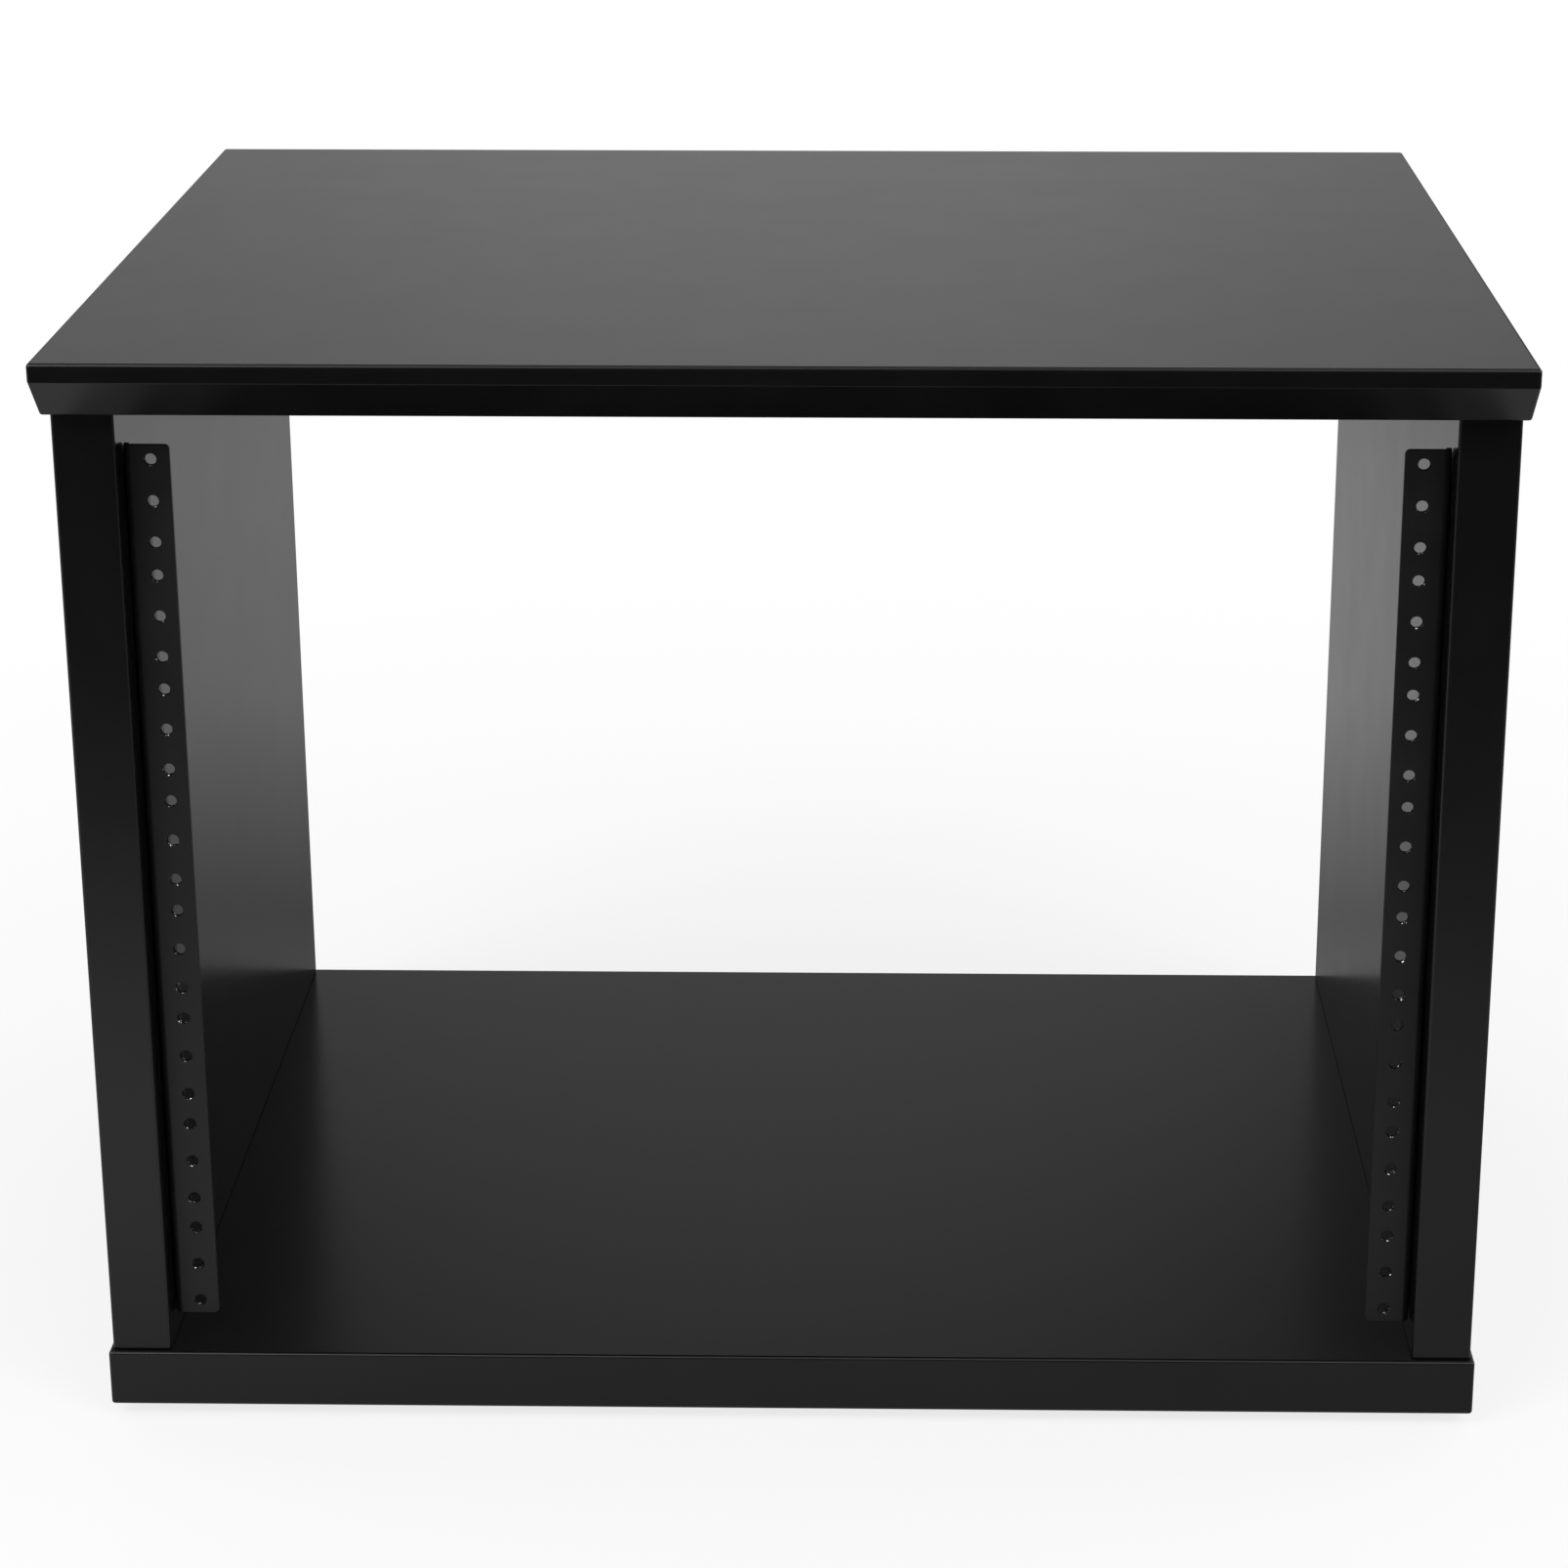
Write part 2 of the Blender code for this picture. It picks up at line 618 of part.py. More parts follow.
def make_base_screws():
    """Connecting screws from under the base into the side panels, with their heads sunk."""
    head = BASE_SCREW_HEAD / 2
    shoulder = BASE_SCREW_SHOULDER / 2
    thread = BASE_SCREW_THREAD / 2
    cone = head - shoulder
    profile = [
        (0, 0),
        (head, 0),
        (shoulder, -cone),
        (shoulder, -BOARD + FACE_GAP),
        (thread, -BOARD + FACE_GAP),
        (thread, SCREW_POINT - BASE_SCREW_LENGTH),
        (0, -BASE_SCREW_LENGTH),
    ]
    screw = turned("base_screw_pattern", profile, screw_steel, HIDDEN_STEPS)
    cut(screw, drills("base_screw_socket", BASE_SCREW_SOCKET, -CUT_PAST, CUT_PAST + BASE_SCREW_SOCKET_DEPTH,
                      (0, 0, -1), [(0, 0, 0)], sides=6))
    place_copies(screw, {
        f"{side}_{end}_base_screw": ((sign * board_middle, y, base_bottom + FACE_GAP), (math.pi, 0, 0))
        for side, sign in SIDES.items()
        for end, y in base_screw_y.items()
    })


def foot_places():
    """Where the feet are, in from the base's four corners."""
    across = slab_half - FOOT_INSET
    along = {"front": base_front + FOOT_INSET, "rear": top_back - FOOT_INSET}
    return {
        f"{side}_{end}": (sign * across, y) for side, sign in SIDES.items() for end, y in along.items()
    }


def make_feet():
    """Tapered rubber feet, each with a screw whose head is sunk in a recess clear of the floor."""
    top = FOOT_DIAMETER / 2
    bottom = top - FOOT_TAPER
    hole = FOOT_SCREW_SHANK / 2 + HOLE_ROOM
    recess = FOOT_SCREW_HEAD / 2 + 2 * HOLE_ROOM
    profile = [
        (hole, FOOT_HEIGHT),
        (top, FOOT_HEIGHT),
        (top, FOOT_HEIGHT - FOOT_TAPER),
        (bottom, 0),
        (recess, 0),
        (recess, FOOT_RECESS_DEPTH),
        (hole, FOOT_RECESS_DEPTH),
    ]
    foot = turned("foot_pattern", profile, rubber, closed=True)
    place_copies(foot, {f"{name}_foot": ((x, y, 0), (0, 0, 0)) for name, (x, y) in foot_places().items()})
    screw = pan_head_screw(
        "foot_screw_pattern", FOOT_SCREW_SHANK, FOOT_SCREW_LENGTH, FOOT_SCREW_HEAD, FOOT_SCREW_HEAD_HEIGHT
    )
    under_head = FOOT_RECESS_DEPTH - FACE_GAP
    place_copies(screw, {
        f"{name}_foot_screw": ((x, y, under_head), (math.pi, 0, 0))
        for name, (x, y) in foot_places().items()
    })


make_top()
make_base()
for side_name, side_sign in SIDES.items():
    make_side_panel(side_name, side_sign)
    make_rail(side_name, side_sign)
make_rail_screws()
make_cams()
make_cam_bolts()
make_dowels()
make_base_screws()
make_feet()
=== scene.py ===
"""Studio rack: the finish of its pieces, and the floor, light and camera round it.

Metres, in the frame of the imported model: +Z up, the front faces -Y, the origin on the floor.
"""

import json
import math

import bmesh
import bpy
from mathutils import Matrix, Vector


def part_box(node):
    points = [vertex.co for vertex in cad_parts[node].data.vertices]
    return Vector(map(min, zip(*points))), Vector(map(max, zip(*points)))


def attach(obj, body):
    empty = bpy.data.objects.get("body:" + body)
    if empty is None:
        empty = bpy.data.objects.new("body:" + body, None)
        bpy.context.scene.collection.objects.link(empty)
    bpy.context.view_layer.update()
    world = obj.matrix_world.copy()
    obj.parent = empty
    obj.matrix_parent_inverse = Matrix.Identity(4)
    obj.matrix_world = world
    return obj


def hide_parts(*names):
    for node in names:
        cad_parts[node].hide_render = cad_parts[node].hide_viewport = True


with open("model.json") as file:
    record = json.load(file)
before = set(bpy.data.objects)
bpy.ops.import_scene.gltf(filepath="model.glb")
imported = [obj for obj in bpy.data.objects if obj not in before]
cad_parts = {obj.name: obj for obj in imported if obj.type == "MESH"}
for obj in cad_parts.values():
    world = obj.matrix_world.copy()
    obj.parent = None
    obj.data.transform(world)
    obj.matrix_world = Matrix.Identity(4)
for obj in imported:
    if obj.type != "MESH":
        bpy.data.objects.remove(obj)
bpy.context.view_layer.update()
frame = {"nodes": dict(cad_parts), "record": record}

# Sizes that a node's box doesn't give
EDGE_RADIUS = 0.0014
SAWN_EDGE_RADIUS = 0.0003
CHAMFER_EDGE_RADIUS = 0.00015
TOP_CHAMFER = 0.016
RACK_UNITS = 8
UNIT_HEIGHT = 0.04445
HOLE_FROM_UNIT_EDGE = 0.00635
FLANGE_PAST_HOLE = 0.00715
RAIL_END_TRIM = 0.0008
RAIL_SHEET = 0.002
RAIL_BEND_OUTSIDE = 0.003
FLANGE_CORNER_RADIUS = 0.002
LEG_CUT_HEIGHT = 0.024
LEG_CUT_BEHIND_BEND = 0.0005
CUT_EDGE_RADIUS = 0.00025

# The tapped rack holes: thread of 32 turns to the inch, and the coat-rounded mouth of each hole
THREAD_ROOT_RADIUS = 0.0024
THREAD_CREST_RADIUS = 0.00218
THREAD_PITCH = 0.0254 / 32
THREAD_SHARPNESS = 1.5
THREAD_ROWS = 14
MOUTH_DEPTH = 0.0002
MOUTH_RADIUS = 0.00245
MOUTH_STEP = 0.00001

# Pan head screws, shanks and holes by their radius, and the cross recess in their heads
SCREW_RIM = 0.0009
SCREW_POINT = 0.004
RIM_ROUND = 0.00015
RAIL_SCREW_SHANK = 0.002
RAIL_SCREW_HOLE = 0.0023
RAIL_SCREW_HEAD_HEIGHT = 0.0024
FOOT_SCREW_SHANK = 0.00175
FOOT_SCREW_HEAD_HEIGHT = 0.0019
DRIVE_SPAN = 0.0042
DRIVE_WIDTH = 0.0011
DRIVE_DEPTH = 0.0017
DRIVE_MOUTH = 0.0002
DRIVE_BOTTOM_SPAN_SHARE = 0.55
DRIVE_BOTTOM_WIDTH_SHARE = 0.8

# Connecting screws under the base, by their radius
BASE_SCREW_SHOULDER = 0.0035
BASE_SCREW_SHOULDER_LENGTH = 0.0227
BASE_SCREW_THREAD = 0.0031
BASE_SCREW_SOCKET = 0.0023
BASE_SCREW_SOCKET_DEPTH = 0.003

# Feet
FOOT_RECESS_ROOM = 0.0006
FOOT_RECESS_DEPTH = 0.003
FOOT_TAPER = 0.0015
FOOT_ROUND = 0.001

# Cam housings and their bores
CAM_RIM = 0.0006
CAM_RING_FROM_EDGE = 0.0014
CAM_RING_HALF_WIDTH = 0.0002
CAM_RING_DEPTH = 0.0002
CAM_DRIVE_SPAN = 0.007
CAM_DRIVE_WIDTH = 0.002
CAM_DRIVE_DEPTH = 0.0028
BORE_ROOM = 0.0003
BORE_LIP = 0.0004

# How finely curved things are divided
EDGE_STEPS = 5
SAWN_EDGE_STEPS = 2
CUT_EDGE_STEPS = 2
BEND_STEPS = 10
CORNER_STEPS = 8
HOLE_SIDES = 32
SOCKET_SIDES = 6
TURNED_STEPS = 48
HEAD_STEPS = 8
FOOT_STEPS = 4

# Edges that turn by more than these are shaded sharp, rounded on the rails, or taken for corners
SMOOTH_ANGLE = math.radians(32)
CUT_EDGE_ANGLE = math.radians(50)
CORNER_ANGLE = math.radians(60)

# Points nearer than this count as one, and cutters reach this far out of what they cut
SAME_PLACE = 1e-6
CUT_PAST = 0.004

SIDES = {"left": -1, "right": 1}
ENDS = ("front", "rear")
BASE_SCREW_PLACES = (*ENDS, "middle")

# A noise is mostly between these
NOISE_LOW = 0.3
NOISE_HIGH = 0.7


def node_tree(name):
    material = bpy.data.materials.new(name)
    material.use_nodes = True
    tree = material.node_tree
    return material, tree, tree.nodes["Principled BSDF"]


def add_node(tree, kind, **settings):
    node = tree.nodes.new(kind)
    for key, value in settings.items():
        setattr(node, key, value)
    return node


def position(tree, scale=(1, 1, 1)):
    """The surface's own coordinates in metres, stretched by scale."""
    place = add_node(tree, "ShaderNodeTexCoord")
    mapping = add_node(tree, "ShaderNodeMapping")
    mapping.inputs["Scale"].default_value = scale
    tree.links.new(place.outputs["Object"], mapping.inputs["Vector"])
    return mapping.outputs["Vector"]


def noise(tree, vector, per_metre, detail=2.0, roughness=0.5):
    node = add_node(tree, "ShaderNodeTexNoise")
    node.inputs["Scale"].default_value = per_metre
    node.inputs["Detail"].default_value = detail
    node.inputs["Roughness"].default_value = roughness
    tree.links.new(vector, node.inputs["Vector"])
    return node.outputs["Fac"]


def spread(tree, value, low, high, start=NOISE_LOW, end=NOISE_HIGH):
    """Maps start to end, which are a noise's usual limits unless given, to low to high."""
    node = add_node(tree, "ShaderNodeMapRange")
    node.inputs["From Min"].default_value = start
    node.inputs["From Max"].default_value = end
    node.inputs["To Min"].default_value = low
    node.inputs["To Max"].default_value = high
    tree.links.new(value, node.inputs["Value"])
    return node.outputs["Result"]


def blend_colours(tree, value, first, second):
    ramp = add_node(tree, "ShaderNodeValToRGB")
    ramp.color_ramp.elements[0].color = (*first, 1)
    ramp.color_ramp.elements[1].color = (*second, 1)
    ramp.color_ramp.elements[0].position = NOISE_LOW
    ramp.color_ramp.elements[1].position = NOISE_HIGH
    tree.links.new(value, ramp.inputs["Fac"])
    return ramp.outputs["Color"]


def bump(tree, shader, height, strength, distance):
    node = add_node(tree, "ShaderNodeBump")
    node.inputs["Strength"].default_value = strength
    node.inputs["Distance"].default_value = distance
    tree.links.new(height, node.inputs["Height"])
    tree.links.new(node.outputs["Normal"], shader.inputs["Normal"])


def black_laminate():
    """Satin black laminate: a very fine pebble, and a sheen that varies a little from place to place."""
    material, tree, shader = node_tree("satin_black_laminate")
    place = position(tree)
    mottle = noise(tree, place, 30, detail=5)
    shader.inputs["Specular IOR Level"].default_value = 0.3
    tree.links.new(blend_colours(tree, mottle, (0.0026, 0.0026, 0.0027), (0.0036, 0.0036, 0.0037)),
                   shader.inputs["Base Color"])
    tree.links.new(spread(tree, mottle, 0.22, 0.24), shader.inputs["Roughness"])
    pebble = noise(tree, place, 2600, detail=3, roughness=0.6)
    bump(tree, shader, pebble, 0.25, 0.00003)
    return material


def powder_coat():
    """Black powder coat on steel: orange peel half a millimetre across."""
    material, tree, shader = node_tree("black_powder_coat")
    place = position(tree)
    mottle = noise(tree, place, 40, detail=3)
    shader.inputs["Specular IOR Level"].default_value = 0.26
    tree.links.new(blend_colours(tree, mottle, (0.0045, 0.0045, 0.0047), (0.0065, 0.0065, 0.0067)),
                   shader.inputs["Base Color"])
    tree.links.new(spread(tree, mottle, 0.36, 0.42), shader.inputs["Roughness"])
    peel = noise(tree, place, 1500, detail=2)
    bump(tree, shader, peel, 0.35, 0.00004)
    return material


def blackened_steel():
    """Black oxide on steel, a little worn: fine streaks and patches of bare metal."""
    material, tree, shader = node_tree("blackened_steel")
    place = position(tree)
    patches = noise(tree, place, 700, detail=5)
    shader.inputs["Metallic"].default_value = 1.0
    tree.links.new(blend_colours(tree, patches, (0.022, 0.022, 0.024), (0.05, 0.05, 0.052)),
                   shader.inputs["Base Color"])
    tree.links.new(spread(tree, patches, 0.3, 0.45), shader.inputs["Roughness"])
    bump(tree, shader, noise(tree, place, 4000), 0.2, 0.00002)
    return material


def tapped_coat():
    """Coat inside the tapped holes: rough and black, with spots that the tap cut down to the steel."""
    material, tree, shader = node_tree("tapped_coat")
    place = position(tree)
    spots = noise(tree, place, 900, detail=3)
    bare = spread(tree, spots, 0.0, 1.0, 0.6, 0.64)
    shader.inputs["Specular IOR Level"].default_value = 0.1
    tree.links.new(blend_colours(tree, bare, (0.002, 0.002, 0.002), (0.5, 0.5, 0.5)),
                   shader.inputs["Base Color"])
    tree.links.new(bare, shader.inputs["Metallic"])
    tree.links.new(spread(tree, bare, 0.6, 0.3, 0.0, 1.0), shader.inputs["Roughness"])
    bump(tree, shader, noise(tree, place, 5000), 0.3, 0.00003)
    return material


def cast_zinc():
    """Die-cast zinc: a dull bright metal with a slightly uneven skin."""
    material, tree, shader = node_tree("cast_zinc")
    place = position(tree)
    skin = noise(tree, place, 500, detail=5, roughness=0.6)
    shader.inputs["Metallic"].default_value = 1.0
    tree.links.new(blend_colours(tree, skin, (0.42, 0.43, 0.44), (0.56, 0.57, 0.58)),
                   shader.inputs["Base Color"])
    tree.links.new(spread(tree, skin, 0.32, 0.5), shader.inputs["Roughness"])
    bump(tree, shader, noise(tree, place, 1800, detail=3), 0.3, 0.00005)
    return material


def beech():
    """Turned beech: fine grain along the dowel."""
    material, tree, shader = node_tree("beech")
    place = position(tree, (1, 1, 0.05))
    grain = noise(tree, place, 1500, detail=4)
    tree.links.new(blend_colours(tree, grain, (0.42, 0.26, 0.13), (0.62, 0.42, 0.24)),
                   shader.inputs["Base Color"])
    tree.links.new(spread(tree, grain, 0.5, 0.65), shader.inputs["Roughness"])
    bump(tree, shader, grain, 0.4, 0.0001)
    return material


def rubber():
    """Moulded rubber: matt, with a fine grain and a trace of dust."""
    material, tree, shader = node_tree("moulded_rubber")
    place = position(tree)
    dust = noise(tree, place, 120, detail=4)
    shader.inputs["Specular IOR Level"].default_value = 0.3
    tree.links.new(blend_colours(tree, dust, (0.012, 0.012, 0.012), (0.03, 0.03, 0.029)),
                   shader.inputs["Base Color"])
    tree.links.new(spread(tree, dust, 0.7, 0.85), shader.inputs["Roughness"])
    bump(tree, shader, noise(tree, place, 2500), 0.4, 0.00006)
    return material


tapped = tapped_coat()
finishes = {
    "black_laminate": black_laminate(),
    "black_powder_coat": powder_coat(),
    "screw_steel": blackened_steel(),
    "zinc": cast_zinc(),
    "beech": beech(),
    "rubber": rubber(),
}


def slot_of(node):
    """The material slot that the record gives a node."""
    parts = frame["record"]["subparts"]
    return next(part["material_slot"] for part in parts if part["node"] == node)


def add_object(name, bm):
    bmesh.ops.recalc_face_normals(bm, faces=bm.faces)
    mesh = bpy.data.meshes.new(name)
    bm.to_mesh(mesh)
    bm.free()
    piece = bpy.data.objects.new(name, mesh)
    bpy.context.scene.collection.objects.link(piece)
    return piece


def finished(piece, node):
    """Gives a fine piece its finish, and puts it in place of the node it stands for."""
    slot = slot_of(node)
    piece.data.materials.clear()
    piece.data.materials.append(finishes[slot])
    piece.data.shade_smooth()
    piece.data.set_sharp_from_angle(angle=SMOOTH_ANGLE)
    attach(piece, "root")
    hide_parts(node)


def subtract(piece, *cutters):
    """Cuts closed cutters out of a piece for good, and removes the cutters."""
    for cutter in cutters:
        boolean = piece.modifiers.new("cut", "BOOLEAN")
        boolean.operation = "DIFFERENCE"
        boolean.solver = "MANIFOLD"
        boolean.object = cutter
    apply_modifiers(piece)
    for cutter in cutters:
        bpy.data.objects.remove(cutter)
    drop_slivers(piece)


def drop_slivers(piece):
    """Merges the points that a cut leaves on top of each other, and drops faces of no area."""
    bm = bmesh.new()
    bm.from_mesh(piece.data)
    bmesh.ops.remove_doubles(bm, verts=bm.verts, dist=SAME_PLACE)
    bmesh.ops.dissolve_degenerate(bm, edges=bm.edges, dist=SAME_PLACE)
    bm.to_mesh(piece.data)
    bm.free()


def apply_modifiers(piece):
    graph = bpy.context.evaluated_depsgraph_get()
    mesh = bpy.data.meshes.new_from_object(piece.evaluated_get(graph))
    piece.modifiers.clear()
    piece.data = mesh


def flatten_shading(piece):
    """Keeps big flat faces flat in shading, so that only the eased edges turn."""
    weighted = piece.modifiers.new("flat faces", "WEIGHTED_NORMAL")
    weighted.mode = "FACE_AREA"
    weighted.weight = 100
    weighted.keep_sharp = True


def turned(name, profile, steps=TURNED_STEPS, closed=False):
    """A turned solid round its own Z axis, from (radius, height) points.

    They start and end on the axis, or else go round a closed section.
    """
    bm = bmesh.new()
    points = [bm.verts.new((radius, 0, height)) for radius, height in profile]
    edges = [bm.edges.new(pair) for pair in zip(points, points[1:])]
    if closed:
        edges.append(bm.edges.new((points[-1], points[0])))
    bmesh.ops.spin(
        bm, geom=points + edges, cent=(0, 0, 0), axis=(0, 0, 1), angle=2 * math.pi, steps=steps
    )
    bmesh.ops.remove_doubles(bm, verts=bm.verts, dist=SAME_PLACE)
    return add_object(name, bm)


def move_mesh(piece, matrix):
    piece.data.transform(matrix)
    piece.data.update()


def side_matrix(sign, x, y, z):
    """Turns a piece's +Z to point inwards from the side panel on that side, and moves it to x, y, z."""
    turn = Matrix.Rotation(0.0 if sign < 0 else math.pi, 4, "Z")
    return Matrix.Translation((x, y, z)) @ turn @ Matrix.Rotation(math.pi / 2, 4, "Y")


def slab(node):
    """A board's plain block, from its node's box."""
    low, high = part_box(node)
    bm = bmesh.new()
    bmesh.ops.create_cube(bm, size=1.0)
    bmesh.ops.scale(bm, vec=high - low, verts=bm.verts)
    bmesh.ops.translate(bm, vec=(low + high) / 2, verts=bm.verts)
    return bm


def ease(bm, edges=None, radius=EDGE_RADIUS, steps=EDGE_STEPS):
    edges = list(bm.edges) if edges is None else edges
    bmesh.ops.bevel(
        bm, geom=edges, offset=radius, segments=steps, affect="EDGES", profile=0.5, clamp_overlap=True
    )


def fine_top():
    """The top, eased all round but for the crisp edge where its front meets the chamfer."""
    low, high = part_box("top_panel")
    bm = slab("top_panel")
    front_lower = [
        e for e in bm.edges
        if all(abs(v.co.y - low.y) < SAME_PLACE and abs(v.co.z - low.z) < SAME_PLACE for v in e.verts)
    ]
    bmesh.ops.bevel(bm, geom=front_lower, offset=TOP_CHAMFER, segments=1, affect="EDGES")
    share = bm.edges.layers.float.new("bevel_weight_edge")
    chamfer_top = low.z + TOP_CHAMFER
    for edge in bm.edges:
        crisp = all(
            abs(v.co.y - low.y) < SAME_PLACE and abs(v.co.z - chamfer_top) < SAME_PLACE
            for v in edge.verts
        )
        edge[share] = CHAMFER_EDGE_RADIUS / EDGE_RADIUS if crisp else 1.0
    top = add_object("top_board", bm)
    eased = top.modifiers.new("eased edges", "BEVEL")
    eased.width = EDGE_RADIUS
    eased.segments = EDGE_STEPS
    eased.limit_method = "WEIGHT"
    apply_modifiers(top)
    finished(top, "top_panel")
    flatten_shading(top)


def fine_base():
    """The base, eased all round, with countersinks from below for its connecting screws."""
    bm = slab("base_panel")
    ease(bm)
    base = add_object("base_board", bm)
    holes = []
    for side in SIDES:
        for end in BASE_SCREW_PLACES:
            low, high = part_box(f"{side}_{end}_base_screw")
            centre = (low + high) / 2
            radius = (high.y - low.y) / 2
            profile = [
                (0, radius + CUT_PAST),
                (radius + BORE_ROOM + CUT_PAST, -CUT_PAST + low.z),
                (0, -CUT_PAST + low.z),
            ]
            hole = turned("countersink", profile, HOLE_SIDES)
            move_mesh(hole, Matrix.Translation((centre.x, centre.y, 0)))
            holes.append(hole)
    subtract(base, *holes)
    finished(base, "base_panel")
    flatten_shading(base)


def fine_side(side, sign):
    """A side panel: eased uprights, sawn ends and bores for its cam housings."""
    node = f"{side}_side_panel"
    bm = slab(node)
    upright = [e for e in bm.edges if abs(e.verts[0].co.z - e.verts[1].co.z) > SAME_PLACE]
    ease(bm, upright)
    ends = [
        e for e in bm.edges
        if abs(e.verts[0].co.z - e.verts[1].co.z) < SAME_PLACE and len(e.link_faces) == 2
        and e.calc_face_angle() > CORNER_ANGLE
    ]
    ease(bm, ends, SAWN_EDGE_RADIUS, SAWN_EDGE_STEPS)
    panel = add_object(f"{side}_side_board", bm)
    bores = []
    for end in ENDS:
        low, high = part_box(f"{side}_{end}_cam")
        centre = (low + high) / 2
        radius = (high.z - low.z) / 2 + BORE_ROOM
        depth = high.x - low.x + BORE_ROOM
        profile = [
            (0, CUT_PAST),
            (radius + BORE_LIP + CUT_PAST, CUT_PAST),
            (radius, -BORE_LIP),
            (radius, -depth),
            (0, -depth),
        ]
        inner = low.x if sign > 0 else high.x
        bore = turned("cam_bore", profile)
        move_mesh(bore, side_matrix(sign, inner, centre.y, centre.z))
        bores.append(bore)
    subtract(panel, *bores)
    finished(panel, node)
    flatten_shading(panel)


def rail_screws(side):
    """The numbers of the screws through one rail's leg."""
    return range(1, 1 + sum(name.startswith(f"{side}_rail_screw_") for name in frame["nodes"]))


def hole_heights(rail_low):
    """Heights of a rail's holes: in each unit one at half height, and one near either edge."""
    bottom = rail_low.z - RAIL_END_TRIM
    in_unit = (HOLE_FROM_UNIT_EDGE, UNIT_HEIGHT / 2, UNIT_HEIGHT - HOLE_FROM_UNIT_EDGE)
    return [bottom + unit * UNIT_HEIGHT + z for unit in range(RACK_UNITS) for z in in_unit]


def thread_radius(turn, depth):
    """Radius of the hole's wall where it is threaded: a rounded helical ridge."""
    phase = (depth / THREAD_PITCH - turn) % 1.0
    ridge = 0.5 - 0.5 * math.cos(2 * math.pi * phase)
    return THREAD_ROOT_RADIUS - (THREAD_ROOT_RADIUS - THREAD_CREST_RADIUS) * ridge ** THREAD_SHARPNESS


def threaded_plug(bm, centre, sheet):
    """Adds a closed plug along +Y, to cut one tapped hole through a sheet whose front is at centre."""
    rows = [(-CUT_PAST, MOUTH_RADIUS), (-MOUTH_STEP, MOUTH_RADIUS)]
    threaded = sheet - 2 * MOUTH_DEPTH
    rows += [(MOUTH_DEPTH + threaded * i / THREAD_ROWS, None) for i in range(THREAD_ROWS + 1)]
    rows += [(sheet + MOUTH_STEP, MOUTH_RADIUS), (sheet + CUT_PAST, MOUTH_RADIUS)]
    rings = []
    for depth, fixed in rows:
        ring = []
        for i in range(HOLE_SIDES):
            turn = i / HOLE_SIDES
            radius = fixed or thread_radius(turn, depth)
            angle = 2 * math.pi * turn
            ring.append(bm.verts.new(
                Vector(centre) + Vector((radius * math.cos(angle), depth, radius * math.sin(angle)))
            ))
        rings.append(ring)
    for first, second in zip(rings, rings[1:]):
        for i in range(HOLE_SIDES):
            j = (i + 1) % HOLE_SIDES
            bm.faces.new((first[i], first[j], second[j], second[i]))
    bm.faces.new(rings[0])
    bm.faces.new(reversed(rings[-1]))
    for face in bm.faces:
        face.material_index = 1


def pull_edge(bm, edges, distance):
    """Carries a sheet on backwards from one of its edges, and gives its new edge."""
    sheet = bmesh.ops.extrude_edge_only(bm, edges=edges)["geom"]
    corners = [v for v in sheet if isinstance(v, bmesh.types.BMVert)]
    bmesh.ops.translate(bm, vec=(0, distance, 0), verts=corners)
    return [e for e in bm.edges if all(v in corners for v in e.verts)]


def folded_sheet(name, low, high, fold, free):
    """A rail without its holes: a flange from X of fold to free, and a leg folded back at fold.

    The flange's free corners are rounded. The leg's upper and lower corners are cut at a slant, from
    just behind the bend to its back edge.
    """
    height = high.z - low.z
    leg_depth = high.y - low.y
    bm = bmesh.new()
    bmesh.ops.create_grid(bm, x_segments=1, y_segments=1, size=0.5)
    bmesh.ops.rotate(bm, cent=(0, 0, 0), matrix=Matrix.Rotation(math.pi / 2, 3, "X"), verts=bm.verts)
    bmesh.ops.scale(bm, vec=(abs(fold - free), 1, height), verts=bm.verts)
    bmesh.ops.translate(bm, vec=((fold + free) / 2, 0, 0), verts=bm.verts)
    fold_edge = [e for e in bm.edges if all(abs(v.co.x - fold) < SAME_PLACE for v in e.verts)]
    cut_start = RAIL_BEND_OUTSIDE + LEG_CUT_BEHIND_BEND
    leg_edge = pull_edge(bm, fold_edge, cut_start)
    leg_edge = pull_edge(bm, leg_edge, leg_depth - cut_start)
    back_corners = [v for edge in leg_edge for v in edge.verts]
    bmesh.ops.scale(bm, vec=(1, 1, 1 - 2 * LEG_CUT_HEIGHT / height), verts=back_corners)
    free_corners = [v for v in bm.verts if abs(v.co.x - free) < SAME_PLACE]
    bmesh.ops.bevel(
        bm, geom=free_corners, offset=FLANGE_CORNER_RADIUS, segments=CORNER_STEPS,
        affect="VERTICES", profile=0.5,
    )
    fold_edge = [
        e for e in bm.edges
        if all(abs(v.co.x - fold) < SAME_PLACE and abs(v.co.y) < SAME_PLACE for v in e.verts)
    ]
    bmesh.ops.bevel(
        bm, geom=fold_edge, offset=RAIL_BEND_OUTSIDE, segments=BEND_STEPS, affect="EDGES", profile=0.5
    )
    bmesh.ops.translate(bm, vec=(0, low.y, (low.z + high.z) / 2), verts=bm.verts)
    rail = add_object(name, bm)
    flange = max(rail.data.polygons, key=lambda face: abs(face.normal.y) * face.area)
    sheet = rail.modifiers.new("sheet", "SOLIDIFY")
    sheet.thickness = RAIL_SHEET
    sheet.offset = -1.0 if flange.normal.y < 0 else 1.0
    sheet.use_even_offset = True
    sheet.use_quality_normals = True
    rims = rail.modifiers.new("rounded cut edges", "BEVEL")
    rims.width = CUT_EDGE_RADIUS
    rims.segments = CUT_EDGE_STEPS
    rims.limit_method = "ANGLE"
    rims.angle_limit = CUT_EDGE_ANGLE
    apply_modifiers(rail)
    return rail


